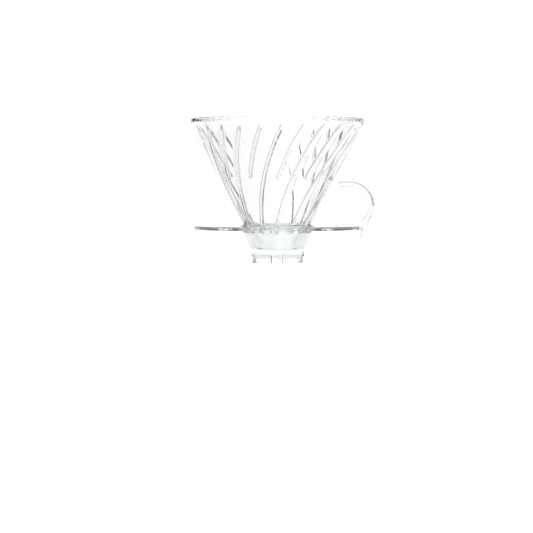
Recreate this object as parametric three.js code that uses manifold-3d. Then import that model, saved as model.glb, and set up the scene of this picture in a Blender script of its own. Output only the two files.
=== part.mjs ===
// Pour over dripper: a clear moulded cone with spiral ribs, seated in a base made of a round plate,
// a collar that drops through the plate, and an open hook handle gripping the plate's edge.
//
// Millimetres, +Z up. The origin is under the middle of the object's box, at the collar's foot.
// The cone, plate and collar share one vertical axis at x = AXIS_X; the handle points along +X.
import * as THREE from 'three';
import { mergeVertices } from 'three/addons/utils/BufferGeometryUtils.js';
import Module from 'manifold-3d';

// ---------------------------------------------------------------- driving dimensions
const GAP = 0.3;                  // clearance left between pieces that touch

const RIM_RADIUS = 58;
const RIM_TOP = 96;               // overall height
const RIM_LIP = 1.6;              // thickness of the upright lip round the rim
const RIM_ROUND = 0.8;

const WALL_TOP = 92;              // just below the lip
const CONE_FOOT = 9;              // end of the outlet, inside the collar
const OUTER_TOP_RADIUS = 57.35;   // wall radii at WALL_TOP
const OUTER_SLOPE = 0.5193;       // radius gained per millimetre of height, outside
const INNER_TOP_RADIUS = 54.9;
const OUTLET_RADIUS = 10.2;
const INNER_SLOPE = (INNER_TOP_RADIUS - OUTLET_RADIUS) / (WALL_TOP - CONE_FOOT);

const RIB_COUNT = 24;
const RIB_HEIGHT = 1.7;
const RIB_FOOT_SHARE = 0.5;       // share of that height left at the bottom of the cone
const RIB_STEEP_SIDE = 0.7;       // width of the rib's steep side
const RIB_SLOPING_SIDE = 3;       // width of its gently sloping side
const RIB_CREST = 0.5;            // the sloping side starts this far from the rib's middle
const RIB_TWIST = 0.53;           // degrees of turn per millimetre of height
const RIB_TOP = 86.5;             // ribs are full height from here down
const RIB_TOP_FADE = 6;
const SHORT_RIB_END = 55;         // every second rib ends here
const LONG_RIB_END = 20;          // the others run on past the plate
const RIB_END_FADE = 4.5;
const RIB_PHASE = -77.5;          // azimuth of a rib at WALL_TOP, in degrees from the handle

const PLATE_RADIUS = 55.7;
const PLATE_BOTTOM = 22.1;
const PLATE_TOP = 24.5;
const PLATE_HOLE_RADIUS = 24.2;

const SEAT_GAP = 0.42;            // radial play between the cone and its seat in the collar
const SEAT_BOTTOM = 23.2;
const COLLAR_WALL = 1.45;
const FLANGE_RADIUS = 24.9;       // the ring that lies on the plate
const FLANGE_THICKNESS = 0.6;
const PLUG_RADIUS = 23.9;         // the part that fills the plate's hole
const SKIRT_TOP_RADIUS = 22.8;
const SKIRT_TOP = 20.4;
const TUBE_RADIUS = 18.05;
const TUBE_TOP = 9.7;
const FOOT_RADIUS = 17;           // below the small step
const FOOT_STEP = 4.3;            // middle of that step
const STEP_SLOPE = 0.9;           // half of its height
const NOTCH_COUNT = 4;
const NOTCH_WIDTH = 3;
const NOTCH_HEIGHT = 5.5;

const HANDLE_WIDTH = 12;
const STRAP_THICKNESS = 3.6;
const LOOP_INNER_RADIUS = 12.4;
const LOOP_X = 49.4;              // centre of the loop, from the cone's axis
const LOOP_Z = 38.2;
const ARM_END = 41.3;             // free end of the upper arm, from the cone's axis
const TONGUE_END = 40.6;          // inner end of the tongue on the plate
const TONGUE_THICKNESS = 1.2;
const JAW_INNER = 53;             // the two prongs under the plate's edge
const JAW_OUTER = 56.8;
const JAW_BOTTOM = 17;
const JAW_ROUND = 0.7;
const PRONG_GAP = 5;              // space between the two prongs

const LOOP_OUTER_RADIUS = LOOP_INNER_RADIUS + STRAP_THICKNESS;
const HANDLE_REACH = LOOP_X + LOOP_OUTER_RADIUS;
const AXIS_X = (RIM_RADIUS - HANDLE_REACH) / 2;

const { degToRad, smoothstep } = THREE.MathUtils;

// ---------------------------------------------------------------- joining and cutting
const wasm = await Module();
wasm.setup();

function toSolid(geometry) {
  const bare = geometry.clone();
  bare.deleteAttribute('normal');
  bare.deleteAttribute('uv');
  const merged = mergeVertices(bare, 1e-4);
  return new wasm.Manifold(new wasm.Mesh({
    numProp: 3,
    vertProperties: new Float32Array(merged.attributes.position.array),
    triVerts: new Uint32Array(merged.index.array),
  }));
}

function toGeometry(solid) {
  const mesh = solid.getMesh();
  const geometry = new THREE.BufferGeometry();
  geometry.setAttribute('position', new THREE.BufferAttribute(mesh.vertProperties, 3));
  geometry.setIndex(new THREE.BufferAttribute(mesh.triVerts, 1));
  return geometry;
}

function cut(geometry, tools) {
  const solid = tools.reduce((left, tool) => left.subtract(toSolid(tool)), toSolid(geometry));
  return toGeometry(solid);
}

// A lathe runs around +Y, so it is stood up: its radius stays level and its height becomes +Z.
function standingLathe(points, segments) {
  const outline = points.map(([radius, height]) => new THREE.Vector2(radius, height));
  return new THREE.LatheGeometry(outline, segments).rotateX(Math.PI / 2);
}

// ---------------------------------------------------------------- brewing cone
const outerRadius = (z) => OUTER_TOP_RADIUS - OUTER_SLOPE * (WALL_TOP - z);
const innerRadius = (z) => OUTLET_RADIUS + INNER_SLOPE * (z - CONE_FOOT);

// Height of a rib at z: it rises under the rim, gets lower towards the outlet, and dies away at
// its own lower end.
function ribHeight(rib, z) {
  const end = rib % 2 === 0 ? LONG_RIB_END : SHORT_RIB_END;
  const rise = 1 - smoothstep(z, RIB_TOP, RIB_TOP + RIB_TOP_FADE);
  const share = RIB_FOOT_SHARE + (1 - RIB_FOOT_SHARE) * (z / RIM_TOP);
  return RIB_HEIGHT * share * rise * smoothstep(z, end, end + RIB_END_FADE);
}

// Each rib takes five columns of the lathe, from its steep side's foot to its sloping side's foot.
const COLUMNS = [
  { across: -RIB_STEEP_SIDE, lift: 0 },
  { across: -RIB_STEEP_SIDE / 6, lift: 1 },
  { across: RIB_CREST, lift: 1 },
  { across: (RIB_CREST + RIB_SLOPING_SIDE) / 2, lift: 0.5 },
  { across: RIB_SLOPING_SIDE, lift: 0 },
];

function makeCone() {
  const pitch = (2 * Math.PI) / RIB_COUNT;
  const innerHeights = [
    RIB_TOP + RIB_TOP_FADE, RIB_TOP + RIB_TOP_FADE / 2, RIB_TOP, 78, 68,
    SHORT_RIB_END + RIB_END_FADE, SHORT_RIB_END, 44, 33, LONG_RIB_END + RIB_END_FADE,
    LONG_RIB_END, CONE_FOOT,
  ];
  const outerHeights = [CONE_FOOT, 22, 36, 50, 64, 78, WALL_TOP];
  const shoulder = RIM_TOP - RIM_ROUND / 2;
  const lipRadius = RIM_RADIUS - RIM_LIP;
  const rim = [
    [RIM_RADIUS, WALL_TOP + (RIM_RADIUS - OUTER_TOP_RADIUS) / OUTER_SLOPE],
    [RIM_RADIUS, shoulder],
    [RIM_RADIUS - RIM_ROUND / 2, RIM_TOP],
    [lipRadius + RIM_ROUND / 2, RIM_TOP],
    [lipRadius, shoulder],
    [lipRadius, WALL_TOP + (lipRadius - INNER_TOP_RADIUS) / INNER_SLOPE],
  ];
  const outline = [
    ...outerHeights.map((z) => [outerRadius(z), z]),
    ...rim,
    ...innerHeights.map((z) => [innerRadius(z), z]),
    [outerRadius(CONE_FOOT), CONE_FOOT],
  ];
  const geometry = standingLathe(outline, RIB_COUNT * COLUMNS.length);

  // The lathe's points are laid out column by column. Each is turned with the ribs' twist, and
  // those on a rib are drawn inwards by their share of the rib's height.
  const position = geometry.attributes.position;
  for (let index = 0; index < position.count; index += 1) {
    const column = Math.floor(index / outline.length) % (RIB_COUNT * COLUMNS.length);
    const row = index % outline.length;
    const rib = Math.floor(column / COLUMNS.length);
    const part = COLUMNS[column % COLUMNS.length];
    const [radius, z] = outline[row];
    const inside = row >= outerHeights.length + rim.length && row < outline.length - 1;
    const lift = inside ? part.lift * ribHeight(rib, z) : 0;
    const offset = Math.min(part.across / radius, pitch * 0.6);
    const twist = degToRad(RIB_PHASE + RIB_TWIST * Math.min(z - WALL_TOP, 0));
    const angle = rib * pitch + offset + twist;
    position.setXYZ(index, (radius - lift) * Math.cos(angle), (radius - lift) * Math.sin(angle), z);
  }
  return toGeometry(toSolid(geometry));
}

// ---------------------------------------------------------------- base plate
function makePlate() {
  const outline = new THREE.Shape().absarc(0, 0, PLATE_RADIUS, 0, 2 * Math.PI);
  outline.holes.push(new THREE.Path().absarc(0, 0, PLATE_HOLE_RADIUS, 0, 2 * Math.PI, true));
  const settings = { depth: PLATE_TOP - PLATE_BOTTOM, bevelEnabled: false, curveSegments: 40 };
  return new THREE.ExtrudeGeometry(outline, settings).translate(0, 0, PLATE_BOTTOM);
}

// ---------------------------------------------------------------- collar
function makeCollar() {
  const seat = (z) => [outerRadius(z) + SEAT_GAP, z];
  const flangeBottom = PLATE_TOP + GAP;
  const flangeTop = flangeBottom + FLANGE_THICKNESS;
  const footBore = FOOT_RADIUS - COLLAR_WALL;
  const tubeBore = TUBE_RADIUS - COLLAR_WALL;
  const outline = [
    [footBore, 0],
    [FOOT_RADIUS, 0],
    [FOOT_RADIUS, FOOT_STEP - STEP_SLOPE],
    [TUBE_RADIUS, FOOT_STEP + STEP_SLOPE],
    [TUBE_RADIUS, TUBE_TOP],
    [SKIRT_TOP_RADIUS, SKIRT_TOP],
    [PLUG_RADIUS, PLATE_BOTTOM - GAP],
    [PLUG_RADIUS, flangeBottom],
    [FLANGE_RADIUS, flangeBottom],
    [FLANGE_RADIUS, flangeTop],
    seat(flangeTop),
    seat(SEAT_BOTTOM),
    [SKIRT_TOP_RADIUS - COLLAR_WALL, SKIRT_TOP],
    [tubeBore, TUBE_TOP],
    [tubeBore, FOOT_STEP + STEP_SLOPE],
    [footBore, FOOT_STEP - STEP_SLOPE],
    [footBore, 0],
  ];
  const notches = Array.from({ length: NOTCH_COUNT }, (_, index) => {
    const notch = new THREE.BoxGeometry(FOOT_RADIUS, NOTCH_WIDTH, 2 * NOTCH_HEIGHT);
    notch.translate(FOOT_RADIUS, 0, 0);
    return notch.rotateZ((index * 2 * Math.PI) / NOTCH_COUNT);
  });
  return cut(standingLathe(outline, 48), notches);
}

// ---------------------------------------------------------------- handle
// Side view of the hook: x outwards from the cone's axis, y up. The plate's edge sits in the
// slot between the tongue above it and the prongs below it.
function handleOutline() {
  const tongueBottom = PLATE_TOP + GAP;
  const tongueTop = tongueBottom + TONGUE_THICKNESS;
  const slotEnd = PLATE_RADIUS + GAP;
  const armRound = STRAP_THICKNESS / 2;
  const armMiddle = LOOP_Z + LOOP_INNER_RADIUS + armRound;
  const shoulder = -Math.PI / 3;
  const tongueMeets = -Math.asin((LOOP_Z - tongueTop) / LOOP_INNER_RADIUS);

  const side = new THREE.Shape();
  side.moveTo(TONGUE_END, tongueBottom);
  side.lineTo(slotEnd, tongueBottom);
  side.lineTo(slotEnd, PLATE_BOTTOM - GAP);
  side.lineTo(JAW_INNER, PLATE_BOTTOM - GAP);
  side.lineTo(JAW_INNER, JAW_BOTTOM);
  side.lineTo(JAW_OUTER - JAW_ROUND, JAW_BOTTOM);
  side.absarc(JAW_OUTER - JAW_ROUND, JAW_BOTTOM + JAW_ROUND, JAW_ROUND, -Math.PI / 2, 0);
  side.absarc(LOOP_X, LOOP_Z, LOOP_OUTER_RADIUS, shoulder, Math.PI / 2);
  side.absarc(ARM_END + armRound, armMiddle, armRound, Math.PI / 2, (3 * Math.PI) / 2);
  side.absarc(LOOP_X, LOOP_Z, LOOP_INNER_RADIUS, Math.PI / 2, tongueMeets, true);
  side.lineTo(TONGUE_END + TONGUE_THICKNESS, tongueTop);
  side.lineTo(TONGUE_END, tongueBottom + TONGUE_THICKNESS / 2);
  side.closePath();
  return side;
}

function makeHandle() {
  const settings = { depth: HANDLE_WIDTH, bevelEnabled: false, curveSegments: 14 };
  const strap = new THREE.ExtrudeGeometry(handleOutline(), settings)
    .rotateX(Math.PI / 2)
    .translate(0, HANDLE_WIDTH / 2, 0);
  const depth = PLATE_RADIUS - JAW_INNER;
  const height = PLATE_BOTTOM - JAW_BOTTOM;
  const betweenProngs = new THREE.BoxGeometry(2 * depth, PRONG_GAP, 2 * height)
    .translate(JAW_INNER, 0, JAW_BOTTOM);
  return cut(strap, [betweenProngs]);
}

// ---------------------------------------------------------------- assembly
const PIECES = {
  brewing_cone: { make: makeCone, color: 0xe9ecec, roughness: 0.06 },
  base_plate: { make: makePlate, color: 0xe3e3ea, roughness: 0.08 },
  server_collar: { make: makeCollar, color: 0xe6e9e9, roughness: 0.08 },
  handle: { make: makeHandle, color: 0xe6e8ea, roughness: 0.06 },
};

const group = new THREE.Group();
for (const [name, piece] of Object.entries(PIECES)) {
  const material = new THREE.MeshStandardMaterial({
    color: piece.color,
    roughness: piece.roughness,
    metalness: 0,
  });
  const mesh = new THREE.Mesh(piece.make(), material);
  mesh.name = name;
  mesh.position.x = AXIS_X;
  group.add(mesh);
}

export default group;
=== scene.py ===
"""A clear pour over dripper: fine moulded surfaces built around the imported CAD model.

Everything is in metres in the model's own frame. Sizes come from the boxes of the CAD nodes and
from the few named design values below, so each piece lies where its CAD node lies.
"""

import math

import bmesh
import bpy
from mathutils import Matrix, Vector


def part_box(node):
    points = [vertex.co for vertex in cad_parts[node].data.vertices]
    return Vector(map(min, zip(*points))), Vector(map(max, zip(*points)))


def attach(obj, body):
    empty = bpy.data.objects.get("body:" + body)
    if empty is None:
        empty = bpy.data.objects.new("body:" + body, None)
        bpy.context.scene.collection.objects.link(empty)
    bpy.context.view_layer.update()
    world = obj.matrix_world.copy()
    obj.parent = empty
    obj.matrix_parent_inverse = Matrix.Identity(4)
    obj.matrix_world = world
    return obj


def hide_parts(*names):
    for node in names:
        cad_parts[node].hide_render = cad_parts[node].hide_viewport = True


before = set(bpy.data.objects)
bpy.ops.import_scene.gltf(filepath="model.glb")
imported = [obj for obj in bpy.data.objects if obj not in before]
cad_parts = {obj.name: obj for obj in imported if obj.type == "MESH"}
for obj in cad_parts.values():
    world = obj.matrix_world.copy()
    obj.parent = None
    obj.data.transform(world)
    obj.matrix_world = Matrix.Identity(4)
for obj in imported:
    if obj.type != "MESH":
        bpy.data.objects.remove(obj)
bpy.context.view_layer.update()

MM = 0.001
TURN = 2 * math.pi

cone_low, cone_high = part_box("brewing_cone")
plate_low, plate_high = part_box("base_plate")
collar_low, collar_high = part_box("server_collar")
handle_low, handle_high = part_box("handle")

AXIS_X = (plate_low.x + plate_high.x) / 2

# ------------------------------------------------------------------ design values
# Radii are measured from the cone's axis. The wall is straight, and its radii are given at
# WALL_TOP. A little below the top it bends into an upright lip.
RIM_RADIUS = (cone_high.y - cone_low.y) / 2
RIM_TOP = cone_high.z
CONE_FOOT = cone_low.z
WALL_TOP = RIM_TOP - 4 * MM
OUTER_TOP_RADIUS = RIM_RADIUS - 0.65 * MM
OUTER_SLOPE = 0.5193  # radius gained for each unit of height
OUTLET_RADIUS = 10.2 * MM
INNER_TOP_RADIUS = OUTER_TOP_RADIUS - 2.45 * MM
RIM_ROUND = 0.75 * MM
RIM_FLARE = 1.1 * MM  # height of the bend below the lip
RIM_BEND_ROUND = 22 * MM  # more than fits, so the bend takes all the room it has
RIM_THICKNESS = 1.6 * MM
OUTER_ROWS = 20
INNER_ROWS = 148

# Seen from outside the cone, a rib's left side is narrow and steep, and its right side is wide
# and gentle.
RIB_COUNT = 24
RIB_HEIGHT = 1.7 * MM
RIB_LEFT = 0.7 * MM
RIB_RIGHT = 3.0 * MM
RIB_SIDE_LIMIT = 0.45  # the most that one side takes of the space from rib to rib
RIB_CREST_SHARE = 0.1  # the flat part of a side
RIB_FOOT_SHARE = 0.5  # height near the floor, as a share of the height at the rim
RIB_TWIST = math.radians(0.53) / MM
RIB_PHASE = math.radians(-77.5)
RIB_TOP = 86.5 * MM
RIB_TOP_FADE = 6 * MM
SHORT_RIB_END = 55 * MM
LONG_RIB_END = 20 * MM
RIB_END_FADE = 4.5 * MM

PLATE_RADIUS = (plate_high.y - plate_low.y) / 2
PLATE_BOTTOM, PLATE_TOP = plate_low.z, plate_high.z
PLATE_HOLE_RADIUS = 24.2 * MM
PLATE_COLUMNS = 256

# Clear pieces that rest on each other run into each other by this much, so that no film of air
# shows between them. A negative gap is an overlap.
TOUCH = -0.06 * MM
SEAT_GAP = -0.06 * MM
GAP = 0.3 * MM  # the CAD tongue's distance from the plate, which its top keeps here

FLANGE_RADIUS = (collar_high.y - collar_low.y) / 2
FLANGE_TOP = collar_high.z
FLANGE_EDGE = 0.15 * MM
FLANGE_LIP = 0.6 * MM
SEAT_BOTTOM = 23.2 * MM
PLUG_RADIUS = 24.26 * MM
PLUG_DEPTH = 0.4 * MM
SKIRT_TOP_RADIUS = 22.8 * MM
SKIRT_TOP = 20.4 * MM
TUBE_RADIUS = 18.05 * MM
TUBE_TOP = 9.7 * MM
FOOT_RADIUS = 17 * MM
FOOT_STEP = 4.3 * MM
STEP_SLOPE = 0.9 * MM
COLLAR_WALL = 1.45 * MM
COLLAR_COLUMNS = 192
NOTCH_COUNT = 4
NOTCH_WIDTH = 3 * MM
NOTCH_HEIGHT = 5.5 * MM
NOTCH_FLARE = 0.2 / MM  # the share that a notch widens by for each unit outwards
NOTCH_ROUND = 0.45 * MM
NOTCH_CREASE = math.radians(50)

HANDLE_WIDTH = handle_high.y - handle_low.y
STRAP = 3.6 * MM
LOOP_INNER_RADIUS = 12.4 * MM
LOOP_OUTER_RADIUS = LOOP_INNER_RADIUS + STRAP
LOOP_X = handle_high.x - AXIS_X - LOOP_OUTER_RADIUS
LOOP_Z = handle_high.z - LOOP_OUTER_RADIUS
TONGUE_END = handle_low.x - AXIS_X
ARM_END = TONGUE_END + 0.7 * MM
TONGUE_THICKNESS = 1.2 * MM
JAW_BOTTOM = handle_low.z
JAW_INNER = PLATE_RADIUS - 2.7 * MM
JAW_OUTER = PLATE_RADIUS + 1.1 * MM
JAW_ROUND = 0.7 * MM
PRONG_GAP = 5 * MM
HANDLE_ROUND = 1.75 * MM
HANDLE_FOOT_ROUND = 0.2 * MM
HANDLE_FOOT_BLEND = 7 * MM
HANDLE_CREASE = math.radians(35)
MITRE_LIMIT = 0.5
LOOP_STEPS = 72
ARM_END_STEPS = 16
ROUNDING_STEPS = 7

# The plastic's surface: its ripple is a slow wave, its haze is fine and patchy.
PLASTIC_IOR = 1.54
RIPPLE_SCALE = 60
RIPPLE_STRENGTH = 0.05
RIPPLE_DEPTH = 0.3 * MM
HAZE_SCALE = 220
HAZE_PATCHES = (0.35, 0.8)
HAZE_ROUGHNESS = (0.0, 0.05)
TINT_STEP = 0.02

# The camera stands a little to the handle's side of the front, level with the cone's middle.
CAMERA_AZIMUTH = math.radians(9)
CAMERA_DISTANCE = 1.3
CAMERA_HEIGHT = 48.5 * MM
CAMERA_PITCH = math.radians(-2.25)
CAMERA_YAW = math.radians(0.32)
CAMERA_LENS = 131.3
CAMERA_SENSOR = 36

# The room is white, with soft dark flags evenly round it and dimmer gaps at its sides. The edge
# and core values are levels of the cosine waves that space them, and the ceiling's start and end
# are sines of the height angle.
FLAG_COUNT = 4
FLAG_TURN = math.radians(6)
FLAG_EDGE = -0.35
FLAG_CORE = -0.65
FLAG_LEVEL = 0.04
SIDE_LEVEL = 0.5
SIDE_EDGE = 0.75
SIDE_CORE = 0.55
CEILING_START = 0.42
CEILING_END = 0.66
CEILING_LEVEL = 0.1
WORLD_LEVEL = 1.14
SUN_ENERGY = 0.6
SUN_SPREAD = math.radians(70)
SUN_TILT = (math.radians(22), math.radians(-18), 0)

# The floor is evenly pale to the camera. Every other ray, such as light that comes through the
# plastic, sees a painted glow in its place, with painted shade that makes it greyer near the
# object, and brighter far away, which draws the edges that bend light down.
FLOOR_SIZE = 2.5
FLOOR_DROP = 0.05 * MM
FLOOR_GRAIN_SCALE = 40
FLOOR_TONES = (0.93, 0.97)
FLOOR_ROUGHNESS = 0.8
FLOOR_GLOW = 0.95
# painted shade: glow levels near the object and far away, and the distances between which the
# glow changes
FLOOR_NEAR_PAINTED_SHADE = 0.88
FLOOR_FAR_PAINTED_GLOW = 1.16
FLOOR_PAINTED_SHADE_END = 0.08
FLOOR_PAINTED_GLOW_START = 0.26

LIGHT_BOUNCES = 32
GLOSS_BOUNCES = 12


# ------------------------------------------------------------------ mesh helpers
def smoothstep(x, low, high):
    t = min(max((x - low) / (high - low), 0.0), 1.0)
    return t * t * (3 - 2 * t)


CORNER_STEPS = 5
CORNER_SHARE = 0.49  # the most that one corner's curve takes of either side


def rounded(corners):
    """A closed outline with each corner (x, y, radius) turned into a curve of about that radius,
    or of as much of it as fits."""
    outline = []
    count = len(corners)
    for index, (x, y, radius) in enumerate(corners):
        here = Vector((x, y))
        before = Vector(corners[index - 1][:2]) - here
        after = Vector(corners[(index + 1) % count][:2]) - here
        if radius <= 0:
            outline.append(here)
            continue
        half = before.angle(after) / 2
        room = CORNER_SHARE * min(before.length, after.length)
        reach = min(radius / math.tan(half), room)
        start = here + before.normalized() * reach
        end = here + after.normalized() * reach
        for step in range(CORNER_STEPS + 1):
            t = step / CORNER_STEPS
            outline.append(start * (1 - t) ** 2 + here * 2 * t * (1 - t) + end * t**2)
    return [(point.x, point.y) for point in outline]


def between(low, high, count):
    """count values from low to high, both included."""
    return [low + (high - low) * index / (count - 1) for index in range(count)]


def shade_smooth(piece, crease=None):
    """Shades the piece as one smooth surface, apart from edges sharper than the crease angle."""
    for face in piece.data.polygons:
        face.use_smooth = True
    if crease is not None:
        piece.data.set_sharp_from_angle(angle=crease)


def mesh_object(name, vertices, faces):
    mesh = bpy.data.meshes.new(name)
    mesh.from_pydata(vertices, [], faces)
    work = bmesh.new()
    work.from_mesh(mesh)
    bmesh.ops.recalc_face_normals(work, faces=work.faces)
    work.to_mesh(mesh)
    work.free()
    piece = bpy.data.objects.new(name, mesh)
    bpy.context.scene.collection.objects.link(piece)
    shade_smooth(piece)
    return piece


def revolve(name, outline, columns, place):
    """Turns a closed outline round the cone's axis. place(row, column) gives radius, angle, z."""
    rows = len(outline)
    vertices = []
    for column in range(columns):
        for row in range(rows):
            radius, angle, z = place(row, column)
            vertices.append((AXIS_X + radius * math.cos(angle), radius * math.sin(angle), z))
    faces = []
    for column in range(columns):
        here = column * rows
        beyond = ((column + 1) % columns) * rows
        for row in range(rows):
            up = (row + 1) % rows
            faces.append((here + row, beyond + row, beyond + up, here + up))
    return mesh_object(name, vertices, faces)


def plain_revolve(name, outline, columns):
    def place(row, column):
        radius, z = outline[row]
        return radius, TURN * column / columns, z

    return revolve(name, outline, columns, place)


def block(centre, size):
    """A box to cut with."""
    x, y, z = (0.5 * side for side in size)
    corners = [(i * x, j * y, k * z) for i in (-1, 1) for j in (-1, 1) for k in (-1, 1)]
    vertices = [tuple(Vector(corner) + Vector(centre)) for corner in corners]
    faces = [(0, 1, 3, 2), (4, 6, 7, 5), (0, 4, 5, 1), (2, 3, 7, 6), (0, 2, 6, 4), (1, 5, 7, 3)]
    return mesh_object("cutter", vertices, faces)


def apply_modifiers(piece):
    """Bakes the modifiers into the mesh, so that the piece is one plain mesh."""
    graph = bpy.context.evaluated_depsgraph_get()
    mesh = bpy.data.meshes.new_from_object(piece.evaluated_get(graph))
    old = piece.data
    piece.modifiers.clear()
    piece.data = mesh
    mesh.name = piece.name
    bpy.data.meshes.remove(old)


def cut_away(piece, cutters):
    for cutter in cutters:
        modifier = piece.modifiers.new("cut", "BOOLEAN")
        modifier.operation = "DIFFERENCE"
        modifier.solver = "EXACT"
        modifier.object = cutter
    apply_modifiers(piece)
    for cutter in cutters:
        bpy.data.objects.remove(cutter)


SOFT_EDGE_STEPS = 3


def soften_edges(piece, width, crease):
    modifier = piece.modifiers.new("soft edges", "BEVEL")
    modifier.width = width
    modifier.segments = SOFT_EDGE_STEPS
    modifier.limit_method = "ANGLE"
    modifier.angle_limit = crease
    modifier.use_clamp_overlap = True
    apply_modifiers(piece)
    shade_smooth(piece, crease)


# ------------------------------------------------------------------ brewing cone
def outer_radius(z):
    return OUTER_TOP_RADIUS - OUTER_SLOPE * (WALL_TOP - z)


def inner_radius(z):
    share = (z - CONE_FOOT) / (WALL_TOP - CONE_FOOT)
    return OUTLET_RADIUS + (INNER_TOP_RADIUS - OUTLET_RADIUS) * share


def height_of(wall, radius):
    """Where a straight wall reaches the given radius."""
    slope = (wall(WALL_TOP) - wall(CONE_FOOT)) / (WALL_TOP - CONE_FOOT)
    return WALL_TOP + (radius - wall(WALL_TOP)) / slope


# The mesh's columns from the crest of a rib to its foot, the same ones mirrored, and the columns
# across the channel to the next rib.
CREST_TO_FOOT = [0.06, 0.18, 0.3, 0.42, 0.55, 0.7, 0.85, 1]
ACROSS_RIB = [-column for column in reversed(CREST_TO_FOOT)] + CREST_TO_FOOT
ACROSS_CHANNEL = [0.2, 0.4, 0.6, 0.8]


def rib_section(across):
    """The rib's cross section, from 0 at its feet to 1 along its narrow flat crest."""
    return 1 - smoothstep(abs(across), RIB_CREST_SHARE, 1)


def rib_height(rib, z):
    """A rib fades in under the rim, gets lower with the cone, and fades out at its end."""
    end = LONG_RIB_END if rib % 2 == 0 else SHORT_RIB_END
    rise = 1 - smoothstep(z, RIB_TOP, RIB_TOP + RIB_TOP_FADE)
    share = RIB_FOOT_SHARE + (1 - RIB_FOOT_SHARE) * z / RIM_TOP
    return RIB_HEIGHT * share * rise * smoothstep(z, end, end + RIB_END_FADE)


def cone_outline():
    """The wall without its ribs, up the outside and down the inside, and the rows with ribs."""
    rim_inner = RIM_RADIUS - RIM_THICKNESS
    outer_bend = height_of(outer_radius, RIM_RADIUS)
    inner_bend = height_of(inner_radius, rim_inner)
    outer_heights = between(CONE_FOOT + 0.8 * MM, outer_bend - RIM_FLARE, OUTER_ROWS)
    inner_heights = between(inner_bend - RIM_FLARE, CONE_FOOT + 0.6 * MM, INNER_ROWS)
    outer = [(outer_radius(z), z) for z in outer_heights]
    inner = [(inner_radius(z), z) for z in inner_heights]
    rim = rounded(
        [
            (*outer[-1], 0),
            (RIM_RADIUS, outer_bend, RIM_BEND_ROUND),
            (RIM_RADIUS, RIM_TOP, RIM_ROUND),
            (rim_inner, RIM_TOP, RIM_ROUND),
            (rim_inner, inner_bend, RIM_BEND_ROUND),
            (*inner[0], 0),
        ]
    )[1:-1]
    # both edges of the foot are eased by a few tenths of a millimetre
    foot_radius = outer_radius(CONE_FOOT)
    foot = [
        (OUTLET_RADIUS + 0.1 * MM, CONE_FOOT + 0.2 * MM),
        (OUTLET_RADIUS + 0.45 * MM, CONE_FOOT),
        (foot_radius - 0.7 * MM, CONE_FOOT),
        (foot_radius - 0.2 * MM, CONE_FOOT + 0.15 * MM),
    ]
    first_inner = len(outer) + len(rim)
    return outer + rim + inner + foot, range(first_inner, first_inner + len(inner))


def make_cone():
    outline, ribbed = cone_outline()
    pitch = TURN / RIB_COUNT
    per_rib = len(ACROSS_RIB) + len(ACROSS_CHANNEL)

    def place(row, column):
        radius, z = outline[row]
        rib, part = divmod(column, per_rib)
        left = min(RIB_LEFT / radius, RIB_SIDE_LIMIT * pitch)
        right = min(RIB_RIGHT / radius, RIB_SIDE_LIMIT * pitch)
        lift = 0.0
        if part < len(ACROSS_RIB):
            across = ACROSS_RIB[part]
            offset = (left if across < 0 else right) * across
            if row in ribbed:
                lift = rib_height(rib, z) * rib_section(across)
        else:
            offset = right + (pitch - left - right) * ACROSS_CHANNEL[part - len(ACROSS_RIB)]
        twist = RIB_PHASE + RIB_TWIST * min(z - WALL_TOP, 0)
        return radius - lift, rib * pitch + offset + twist, z

    return revolve("cone_body", outline, RIB_COUNT * per_rib, place)


# ------------------------------------------------------------------ base plate
def make_plate():
    outline = rounded(
        [
            (PLATE_RADIUS, PLATE_BOTTOM, 0.35 * MM),
            (PLATE_RADIUS, PLATE_TOP, 0.7 * MM),
            (PLATE_HOLE_RADIUS, PLATE_TOP, 0.3 * MM),
            (PLATE_HOLE_RADIUS, PLATE_BOTTOM, 0.3 * MM),
        ]
    )
    return plain_revolve("plate_disc", outline, PLATE_COLUMNS)


# ------------------------------------------------------------------ collar
def collar_outline():
    flange_bottom = PLATE_TOP + TOUCH
    foot_bore = FOOT_RADIUS - COLLAR_WALL
    tube_bore = TUBE_RADIUS - COLLAR_WALL
    return rounded(
        [
            (foot_bore, collar_low.z, 0.3 * MM),
            (FOOT_RADIUS, collar_low.z, 0.4 * MM),
            (FOOT_RADIUS, FOOT_STEP - STEP_SLOPE, 0.5 * MM),
            (TUBE_RADIUS, FOOT_STEP + STEP_SLOPE, 0.5 * MM),
            (TUBE_RADIUS, TUBE_TOP, 1.5 * MM),
            (SKIRT_TOP_RADIUS, SKIRT_TOP, 1 * MM),
            (PLUG_RADIUS, PLATE_BOTTOM - PLUG_DEPTH, 0.5 * MM),
            (PLUG_RADIUS, flange_bottom, 0.1 * MM),
            (FLANGE_RADIUS, flange_bottom, 0.1 * MM),
            (FLANGE_RADIUS, PLATE_TOP + FLANGE_EDGE, 0.1 * MM),
            (outer_radius(FLANGE_TOP) + FLANGE_LIP, FLANGE_TOP, 1 * MM),
            (outer_radius(FLANGE_TOP) + SEAT_GAP, FLANGE_TOP, 0.1 * MM),
            (outer_radius(SEAT_BOTTOM) + SEAT_GAP, SEAT_BOTTOM, 0.6 * MM),
            (SKIRT_TOP_RADIUS - COLLAR_WALL, SKIRT_TOP, 1 * MM),
            (tube_bore, TUBE_TOP, 1.5 * MM),
            (tube_bore, FOOT_STEP + STEP_SLOPE, 0.5 * MM),
            (foot_bore, FOOT_STEP - STEP_SLOPE, 0.5 * MM),
        ]
    )


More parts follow.
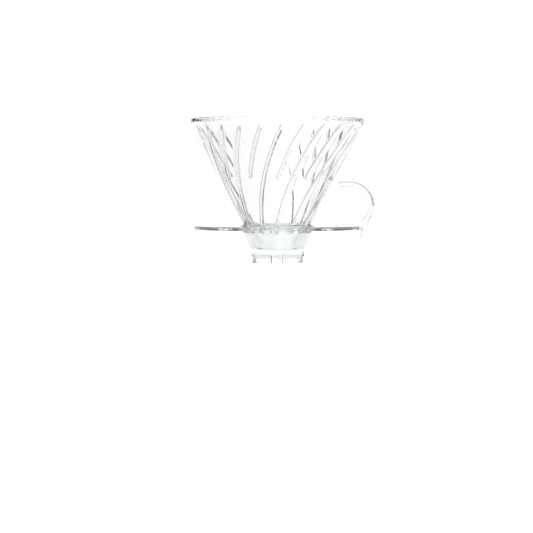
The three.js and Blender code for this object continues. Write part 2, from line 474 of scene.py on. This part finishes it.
def make_notch(angle):
    """A cutter through the collar's foot, a little wider outside than inside."""
    start, end = FOOT_RADIUS - COLLAR_WALL - MM, TUBE_RADIUS + MM
    middle = (start + end) / 2
    notch = block((middle, 0, 0), (end - start, NOTCH_WIDTH, 2 * NOTCH_HEIGHT))
    for vertex in notch.data.vertices:
        x, y, z = vertex.co
        y *= 1 + NOTCH_FLARE * (x - middle)
        vertex.co = (
            AXIS_X + x * math.cos(angle) - y * math.sin(angle),
            x * math.sin(angle) + y * math.cos(angle),
            z,
        )
    return notch


def make_collar():
    piece = plain_revolve("collar_tube", collar_outline(), COLLAR_COLUMNS)
    cut_away(piece, [make_notch(TURN * index / NOTCH_COUNT) for index in range(NOTCH_COUNT)])
    soften_edges(piece, NOTCH_ROUND, NOTCH_CREASE)
    return piece


# ------------------------------------------------------------------ handle
def arc(centre, radius, start, end, steps):
    return [
        (centre[0] + radius * math.cos(angle), centre[1] + radius * math.sin(angle))
        for angle in between(start, end, steps)
    ]


def strap_rounding(z):
    """The strap is well rounded, and gets crisper where it runs into its flat foot."""
    share = smoothstep(z, PLATE_TOP + MM, PLATE_TOP + HANDLE_FOOT_BLEND)
    return HANDLE_FOOT_ROUND + (HANDLE_ROUND - HANDLE_FOOT_ROUND) * share


def hook_outline():
    """The hook from the side, as points (x, z), and how far its edge is rounded at each point."""
    tongue_bottom = PLATE_TOP + TOUCH
    tongue_top = PLATE_TOP + GAP + TONGUE_THICKNESS
    slot_end = PLATE_RADIUS + TOUCH
    prong_top = PLATE_BOTTOM - TOUCH
    arm_middle = LOOP_Z + LOOP_INNER_RADIUS + STRAP / 2
    meets = -math.asin((LOOP_Z - tongue_top) / LOOP_INNER_RADIUS)
    loop = (LOOP_X, LOOP_Z)
    arm_end = (ARM_END + STRAP / 2, arm_middle)
    jaw_corner = (JAW_OUTER - JAW_ROUND, JAW_BOTTOM + JAW_ROUND)
    up, down = math.pi / 2, 1.5 * math.pi
    foot = [
        (TONGUE_END + TONGUE_THICKNESS, tongue_top),
        (TONGUE_END, tongue_bottom + TONGUE_THICKNESS / 2),
        (TONGUE_END, tongue_bottom),
        (slot_end, tongue_bottom),
        (slot_end, prong_top),
        (JAW_INNER, prong_top),
        (JAW_INNER, JAW_BOTTOM),
        *arc(jaw_corner, JAW_ROUND, -up, 0, ROUNDING_STEPS),
    ]
    hook = [
        *arc(loop, LOOP_OUTER_RADIUS, -math.pi / 3, up, LOOP_STEPS),
        *arc(arm_end, STRAP / 2, up, down, ARM_END_STEPS),
        *arc(loop, LOOP_INNER_RADIUS, up, meets, LOOP_STEPS),
    ]
    rounding = [HANDLE_FOOT_ROUND] * len(foot) + [strap_rounding(z) for x, z in hook]
    return [Vector(point) for point in foot + hook], rounding


def inward_directions(outline):
    """For each point, how it moves when both of its sides move in by one unit."""
    inward = []
    for index, here in enumerate(outline):
        before = (here - outline[index - 1]).normalized()
        after = (outline[(index + 1) % len(outline)] - here).normalized()
        middle = (before + after).normalized()
        inward.append(Vector((-middle.y, middle.x)) / max(middle.dot(after), MITRE_LIMIT))
    return inward


def make_strap():
    """The hook's outline across its width, drawn in round a quarter circle at both faces."""
    side, rounding = hook_outline()
    inward = inward_directions(side)
    count = len(side)
    quarter = between(0, math.pi / 2, ROUNDING_STEPS)
    layers = [(-1, angle) for angle in quarter] + [(1, angle) for angle in reversed(quarter)]
    vertices = []
    for face, angle in layers:
        for here, normal, radius in zip(side, inward, rounding):
            point = here + normal * radius * (1 - math.sin(angle))
            y = face * (HANDLE_WIDTH / 2 - radius * (1 - math.cos(angle)))
            vertices.append((AXIS_X + point.x, y, point.y))
    last = len(vertices) - 1
    faces = [tuple(range(count)), tuple(range(last, last - count, -1))]
    for layer in range(len(layers) - 1):
        start = layer * count
        for here in range(count):
            beyond = (here + 1) % count
            low, high = start + here, start + beyond
            faces.append((low, low + count, high + count, high))
    return mesh_object("handle_hook", vertices, faces)


def make_handle():
    piece = make_strap()
    # the cutter's middle lies on the jaw's lower inner edge, so it runs out past the jaw
    depth = PLATE_RADIUS - JAW_INNER
    height = PLATE_BOTTOM - JAW_BOTTOM
    corner = (AXIS_X + JAW_INNER, 0, JAW_BOTTOM)
    cut_away(piece, [block(corner, (2 * depth, PRONG_GAP, 2 * height))])
    shade_smooth(piece, HANDLE_CREASE)
    return piece


# ------------------------------------------------------------------ materials
def remap(nodes, links, value, source, target, smooth=False):
    """Turns a value's range (low, high) into another range."""
    node = nodes.new("ShaderNodeMapRange")
    if smooth:
        node.interpolation_type = "SMOOTHSTEP"
    node.inputs["From Min"].default_value, node.inputs["From Max"].default_value = source
    node.inputs["To Min"].default_value, node.inputs["To Max"].default_value = target
    links.new(value, node.inputs["Value"])
    return node.outputs["Result"]


def clear_plastic(name, tint, absorb, density):
    """Polished clear moulding: it bends light, is tinted with depth, and has the faint ripple and
    patchy haze of a moulded surface."""
    material = bpy.data.materials.new(name)
    material.use_nodes = True
    nodes, links = material.node_tree.nodes, material.node_tree.links
    shader = nodes["Principled BSDF"]
    shader.inputs["Transmission Weight"].default_value = 1.0
    shader.inputs["IOR"].default_value = PLASTIC_IOR
    place = nodes.new("ShaderNodeTexCoord")

    def noise(scale, detail):
        node = nodes.new("ShaderNodeTexNoise")
        node.inputs["Scale"].default_value = scale
        node.inputs["Detail"].default_value = detail
        links.new(place.outputs["Object"], node.inputs["Vector"])
        return node.outputs["Fac"]

    ripple = noise(RIPPLE_SCALE, 2)
    haze = noise(HAZE_SCALE, 4)
    rough = remap(nodes, links, haze, HAZE_PATCHES, HAZE_ROUGHNESS)
    links.new(rough, shader.inputs["Roughness"])

    colour = nodes.new("ShaderNodeMix")
    colour.data_type = "RGBA"
    colour.inputs["A"].default_value = (*tint, 1)
    colour.inputs["B"].default_value = (*(min(1, channel + TINT_STEP) for channel in tint), 1)
    links.new(ripple, colour.inputs["Factor"])
    links.new(colour.outputs["Result"], shader.inputs["Base Color"])

    bump = nodes.new("ShaderNodeBump")
    bump.inputs["Strength"].default_value = RIPPLE_STRENGTH
    bump.inputs["Distance"].default_value = RIPPLE_DEPTH
    links.new(ripple, bump.inputs["Height"])
    links.new(bump.outputs["Normal"], shader.inputs["Normal"])

    volume = nodes.new("ShaderNodeVolumeAbsorption")
    volume.inputs["Color"].default_value = (*absorb, 1)
    volume.inputs["Density"].default_value = density
    links.new(volume.outputs["Volume"], nodes["Material Output"].inputs["Volume"])
    return material


def pale_floor_with_painted_shade():
    material = bpy.data.materials.new("pale_floor_with_painted_shade")
    material.use_nodes = True
    nodes, links = material.node_tree.nodes, material.node_tree.links
    shader = nodes["Principled BSDF"]
    shader.inputs["Roughness"].default_value = FLOOR_ROUGHNESS
    shader.inputs["Specular IOR Level"].default_value = 0.0
    shader.inputs["Emission Color"].default_value = (1, 1, 1, 1)
    shader.inputs["Emission Strength"].default_value = FLOOR_GLOW
    grain = nodes.new("ShaderNodeTexNoise")
    grain.inputs["Scale"].default_value = FLOOR_GRAIN_SCALE
    tone = remap(nodes, links, grain.outputs["Fac"], (0, 1), FLOOR_TONES)
    links.new(tone, shader.inputs["Base Color"])

    # painted shade: every ray but the camera's sees the floor as a painted glow, dimmer near the
    # object and brighter far away
    place = nodes.new("ShaderNodeTexCoord")
    distance = nodes.new("ShaderNodeVectorMath")
    distance.operation = "LENGTH"
    links.new(place.outputs["Object"], distance.inputs[0])
    painted_shade_spread = (FLOOR_PAINTED_SHADE_END, FLOOR_PAINTED_GLOW_START)
    painted_shade_levels = (FLOOR_NEAR_PAINTED_SHADE, FLOOR_FAR_PAINTED_GLOW)
    level = remap(nodes, links, distance.outputs["Value"], painted_shade_spread, painted_shade_levels, smooth=True)
    painted_shade_glow = nodes.new("ShaderNodeEmission")
    links.new(level, painted_shade_glow.inputs["Strength"])
    direct = nodes.new("ShaderNodeLightPath")
    choose = nodes.new("ShaderNodeMixShader")
    links.new(direct.outputs["Is Camera Ray"], choose.inputs["Fac"])
    links.new(painted_shade_glow.outputs["Emission"], choose.inputs[1])
    links.new(shader.outputs["BSDF"], choose.inputs[2])
    links.new(choose.outputs["Shader"], nodes["Material Output"].inputs["Surface"])
    return material


# ------------------------------------------------------------------ studio
def make_floor():
    size = FLOOR_SIZE
    corners = [(-size, -size, 0), (size, -size, 0), (size, size, 0), (-size, size, 0)]
    floor = mesh_object("studio_floor", corners, [(0, 1, 2, 3)])
    floor.location.z = collar_low.z - FLOOR_DROP
    floor.data.materials.append(pale_floor_with_painted_shade())


def make_world():
    """A white room whose soft flags, side gaps and ceiling draw the clear edges. The camera sees
    only white behind the object."""
    world = bpy.data.worlds.new("studio")
    bpy.context.scene.world = world
    world.use_nodes = True
    nodes, links = world.node_tree.nodes, world.node_tree.links
    background = nodes["Background"]
    background.inputs["Color"].default_value = (1, 1, 1, 1)

    place = nodes.new("ShaderNodeTexCoord")
    split = nodes.new("ShaderNodeSeparateXYZ")
    links.new(place.outputs["Generated"], split.inputs["Vector"])

    def calc(operation, *values):
        node = nodes.new("ShaderNodeMath")
        node.operation = operation
        for socket, value in zip(node.inputs, values):
            if isinstance(value, (int, float)):
                socket.default_value = value
            else:
                links.new(value, socket)
        return node.outputs[0]

    def dim(value, start, end, level):
        return remap(nodes, links, value, (start, end), (1, level), smooth=True)

    around = calc("ARCTAN2", split.outputs["X"], split.outputs["Y"])
    around = calc("ADD", around, FLAG_TURN)
    wave = calc("COSINE", calc("MULTIPLY", around, FLAG_COUNT))
    flags = dim(wave, FLAG_EDGE, FLAG_CORE, FLAG_LEVEL)
    side_wave = calc("ABSOLUTE", calc("COSINE", around))
    sides = dim(side_wave, SIDE_EDGE, SIDE_CORE, SIDE_LEVEL)
    ceiling = dim(split.outputs["Z"], CEILING_START, CEILING_END, CEILING_LEVEL)
    level = calc("MULTIPLY", calc("MINIMUM", flags, sides), ceiling)
    direct = nodes.new("ShaderNodeLightPath").outputs["Is Camera Ray"]
    level = calc("MAXIMUM", level, direct)
    links.new(calc("MULTIPLY", level, WORLD_LEVEL), background.inputs["Strength"])


def make_key_light():
    """One broad soft light from high up, wide enough to leave no hard shadow."""
    light = bpy.data.lights.new("soft_key", "SUN")
    light.angle = SUN_SPREAD
    light.energy = SUN_ENERGY
    lamp = bpy.data.objects.new("soft_key", light)
    lamp.rotation_euler = SUN_TILT
    bpy.context.scene.collection.objects.link(lamp)


def make_camera():
    data = bpy.data.cameras.new("camera")
    data.lens = CAMERA_LENS
    data.sensor_width = CAMERA_SENSOR
    camera = bpy.data.objects.new("camera", data)
    bpy.context.scene.collection.objects.link(camera)
    camera.location = (
        AXIS_X + CAMERA_DISTANCE * math.sin(CAMERA_AZIMUTH),
        -CAMERA_DISTANCE * math.cos(CAMERA_AZIMUTH),
        CAMERA_HEIGHT,
    )
    camera.rotation_euler = (math.pi / 2 + CAMERA_PITCH, 0, CAMERA_AZIMUTH + CAMERA_YAW)
    bpy.context.scene.camera = camera


# ------------------------------------------------------------------ the scene
# how the plastic tints light that passes through it: colour, and density for each metre
COOL_DEPTH = ((0.76, 0.8, 0.79), 9)
VIOLET_DEPTH = ((0.66, 0.66, 0.76), 3)

# for each CAD node: what makes its piece, its body, its material slot, surface tint and depth
PIECES = {
    "brewing_cone": (make_cone, "cone", "clear_cone", (0.97, 0.98, 0.975), COOL_DEPTH),
    "base_plate": (make_plate, "base", "clear_plate", (0.96, 0.96, 0.985), VIOLET_DEPTH),
    "server_collar": (make_collar, "base", "clear_collar", (0.97, 0.98, 0.98), COOL_DEPTH),
    "handle": (make_handle, "base", "clear_handle", (0.96, 0.97, 0.98), COOL_DEPTH),
}

for node, (make, body, slot, tint, depth) in PIECES.items():
    piece = make()
    piece.data.materials.clear()
    piece.data.materials.append(clear_plastic(slot, tint, *depth))
    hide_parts(node)
    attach(piece, body)

make_floor()
make_world()
make_key_light()
make_camera()

scene = bpy.context.scene
scene.view_settings.view_transform = "Standard"
scene.cycles.max_bounces = LIGHT_BOUNCES
scene.cycles.transmission_bounces = LIGHT_BOUNCES
scene.cycles.glossy_bounces = GLOSS_BOUNCES
